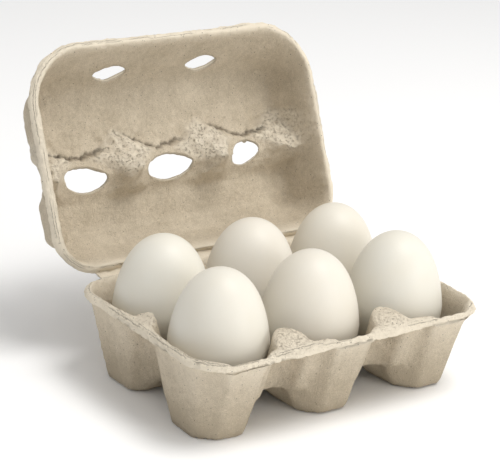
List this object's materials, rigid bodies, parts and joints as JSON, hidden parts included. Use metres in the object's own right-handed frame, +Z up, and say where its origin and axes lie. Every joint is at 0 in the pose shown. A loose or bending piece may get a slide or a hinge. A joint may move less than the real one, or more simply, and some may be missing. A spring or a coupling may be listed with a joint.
{
  "type": "egg carton with eggs",
  "caption": "Open moulded pulp egg carton, its hinged lid standing up behind a tray of egg cups, with a loose egg standing in each cup.",
  "frame": {"origin": "middle of the whole from side to side and from front to back, the open lid included, at the height of the surface the cups stand on", "axes": "+X along the carton to the right, +Y from the front rim back towards the hinge and the lid, +Z up"},
  "size_m": [0.156, 0.1706, 0.135],
  "materials": {
    "tray_pulp": "rough, fibrous moulded paper pulp, undyed beige-grey",
    "lid_pulp": "rough, fibrous moulded paper pulp, undyed beige-grey",
    "egg_shell": "smooth, matt white hen's eggshell"
  },
  "bodies": {
    "tray": {"tray": "tray_pulp", "egg_front_left": "egg_shell", "egg_front_middle": "egg_shell", "egg_front_right": "egg_shell", "egg_back_left": "egg_shell", "egg_back_middle": "egg_shell", "egg_back_right": "egg_shell"},
    "lid": {"lid": "lid_pulp"}
  },
  "joints": [
    {"name": "lid_hinge", "type": "hinge", "parent": "tray", "child": "lid", "pos_m": [0, 0.0217, 0.0385], "axis": [1, 0, 0], "range_deg": [-60, 113]}
  ]
}
